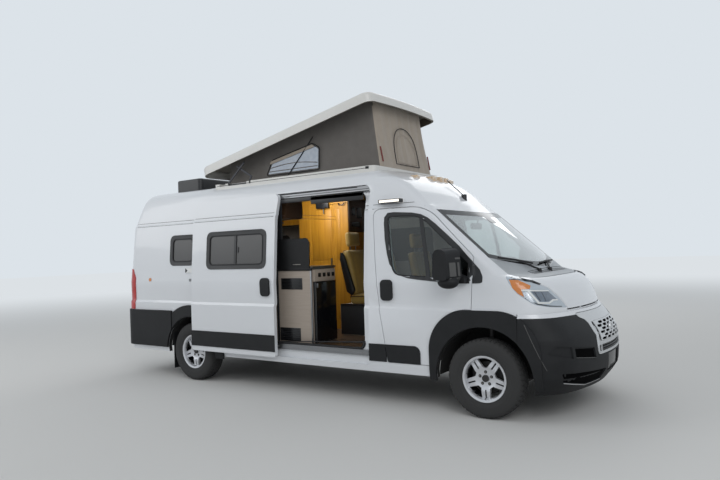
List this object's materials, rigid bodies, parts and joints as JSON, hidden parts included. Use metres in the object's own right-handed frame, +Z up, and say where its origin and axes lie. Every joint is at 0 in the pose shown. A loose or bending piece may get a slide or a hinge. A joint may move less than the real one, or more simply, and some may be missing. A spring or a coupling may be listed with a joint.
{
  "type": "camper van",
  "caption": "High-roofed camper van with a raised pop-top roof, an open sliding side door, hinged cab and rear doors, steered front wheels and a furnished cabin.",
  "frame": {"origin": "on the ground under the middle of the van's length and width", "axes": "+X forwards along the van, +Y to its left, +Z up"},
  "size_m": [6.3653, 2.508, 3.3664],
  "materials": {
    "white_paint": "gloss white paint",
    "black_plastic": "grained black",
    "tinted_glass": "dark tinted glass",
    "lamp_plastic": "clear lens",
    "tail_lamp_plastic": "red lens",
    "grille_plastic": "silver and black",
    "white_plastic": "gloss white",
    "canvas": "woven tent fabric",
    "rail_aluminium": "satin aluminium",
    "tyre_rubber": "black rubber",
    "wheel_alloy": "silver painted alloy",
    "chassis_steel": "black coating",
    "axle_iron": "black coated iron",
    "dashboard_plastic": "grained black",
    "seat_leather": "tan upholstery",
    "galley_board": "greige laminated board",
    "dark_wood": "dark wood laminate",
    "mattress_fabric": "woven mattress cover"
  },
  "bodies": {
    "body": {"side_panel_left": "white_paint", "side_panel_right": "white_paint", "roof_panel": "white_paint", "headlamps": "lamp_plastic", "front_panel": "white_paint", "cowl": "black_plastic", "windscreen": "tinted_glass", "sliding_door": "white_paint", "side_windows": "tinted_glass", "side_trim": "black_plastic", "door_rails": "rail_aluminium", "tail_lamps": "tail_lamp_plastic", "rear_bumper": "black_plastic", "front_bumper": "black_plastic", "grille": "grille_plastic", "pop_top_frame": "rail_aluminium", "tent": "canvas", "roof_air_conditioner": "white_plastic", "roof_lamps": "lamp_plastic", "wipers": "black_plastic", "front_subframe": "axle_iron", "rear_axle": "axle_iron", "chassis_rails": "chassis_steel", "engine_and_radiator": "axle_iron", "floor_pan": "chassis_steel", "dashboard": "dashboard_plastic", "cab_seats": "seat_leather", "bench_seats": "seat_leather", "galley": "galley_board", "wash_room": "dark_wood", "overhead_lockers": "dark_wood", "bed": "mattress_fabric"},
    "bonnet": {"bonnet": "white_paint"},
    "front_door_left": {"front_door_left": "white_paint", "door_glass_left": "tinted_glass", "door_trim_left": "black_plastic"},
    "front_door_right": {"front_door_right": "white_paint", "door_glass_right": "tinted_glass", "door_trim_right": "black_plastic"},
    "rear_door_left": {"rear_door_left": "white_paint", "rear_glass_left": "tinted_glass"},
    "rear_door_right": {"rear_door_right": "white_paint", "rear_glass_right": "tinted_glass"},
    "pop_top_lid": {"pop_top_lid": "white_plastic"},
    "lift_arms": {"lift_arms": "rail_aluminium"},
    "lift_links": {"lift_links": "rail_aluminium"},
    "knuckle_left": {"knuckle_left": "axle_iron"},
    "knuckle_right": {"knuckle_right": "axle_iron"},
    "wheel_front_left": {"tyre_front_left": "tyre_rubber", "wheel_front_left": "wheel_alloy"},
    "wheel_front_right": {"tyre_front_right": "tyre_rubber", "wheel_front_right": "wheel_alloy"},
    "wheel_rear_left": {"tyre_rear_left": "tyre_rubber", "wheel_rear_left": "wheel_alloy"},
    "wheel_rear_right": {"tyre_rear_right": "tyre_rubber", "wheel_rear_right": "wheel_alloy"}
  },
  "joints": [
    {"name": "steer_left", "type": "hinge", "parent": "body", "child": "knuckle_left", "pos_m": [2.2335, 0.76, 0.372], "axis": [0, 0, 1], "range_deg": [-35, 35]},
    {"name": "steer_right", "type": "hinge", "parent": "body", "child": "knuckle_right", "pos_m": [2.2335, -0.76, 0.372], "axis": [0, 0, 1], "range_deg": [-35, 35]},
    {"name": "roll_front_left", "type": "hinge", "parent": "knuckle_left", "child": "wheel_front_left", "pos_m": [2.2335, 0.905, 0.372], "axis": [0, 1, 0], "continuous": true},
    {"name": "roll_front_right", "type": "hinge", "parent": "knuckle_right", "child": "wheel_front_right", "pos_m": [2.2335, -0.905, 0.372], "axis": [0, 1, 0], "continuous": true},
    {"name": "roll_rear_left", "type": "hinge", "parent": "body", "child": "wheel_rear_left", "pos_m": [-1.8015, 0.895, 0.372], "axis": [0, 1, 0], "continuous": true},
    {"name": "roll_rear_right", "type": "hinge", "parent": "body", "child": "wheel_rear_right", "pos_m": [-1.8015, -0.895, 0.372], "axis": [0, 1, 0], "continuous": true},
    {"name": "open_front_door_left", "type": "hinge", "parent": "body", "child": "front_door_left", "pos_m": [2.1035, 1.004, 1], "axis": [0, 0, -1], "range_deg": [0, 65]},
    {"name": "open_front_door_right", "type": "hinge", "parent": "body", "child": "front_door_right", "pos_m": [2.1035, -1.004, 1], "axis": [0, 0, 1], "range_deg": [0, 65]},
    {"name": "open_rear_door_left", "type": "hinge", "parent": "body", "child": "rear_door_left", "pos_m": [-3.1715, 0.792, 1.4], "axis": [0, 0, 1], "range_deg": [-180, 0]},
    {"name": "open_rear_door_right", "type": "hinge", "parent": "body", "child": "rear_door_right", "pos_m": [-3.1715, -0.792, 1.4], "axis": [0, 0, 1], "range_deg": [0, 180]},
    {"name": "open_bonnet", "type": "hinge", "parent": "body", "child": "bonnet", "pos_m": [2.4585, 0, 1.345], "axis": [0, -1, 0], "range_deg": [0, 50]},
    {"name": "close_pop_top", "type": "hinge", "parent": "body", "child": "pop_top_lid", "pos_m": [-2.3515, 0, 2.55], "axis": [0, 1, 0], "range_deg": [0, 12.1], "deforming": ["tent"]},
    {"name": "fold_lift_arms", "type": "hinge", "parent": "body", "child": "lift_arms", "pos_m": [-1.3745, 0, 2.524], "axis": [0, 1, 0], "range_deg": [0, 37.1]},
    {"name": "fold_lift_links", "type": "hinge", "parent": "body", "child": "lift_links", "pos_m": [-0.9975, 0, 2.524], "axis": [0, 1, 0], "range_deg": [-43.6, 0]}
  ],
  "couplings": [
    {"joint": "steer_right", "follows": "steer_left", "ratio": 1},
    {"joint": "fold_lift_arms", "follows": "close_pop_top", "ratio": 3.06},
    {"joint": "fold_lift_links", "follows": "close_pop_top", "ratio": -3.6}
  ]
}
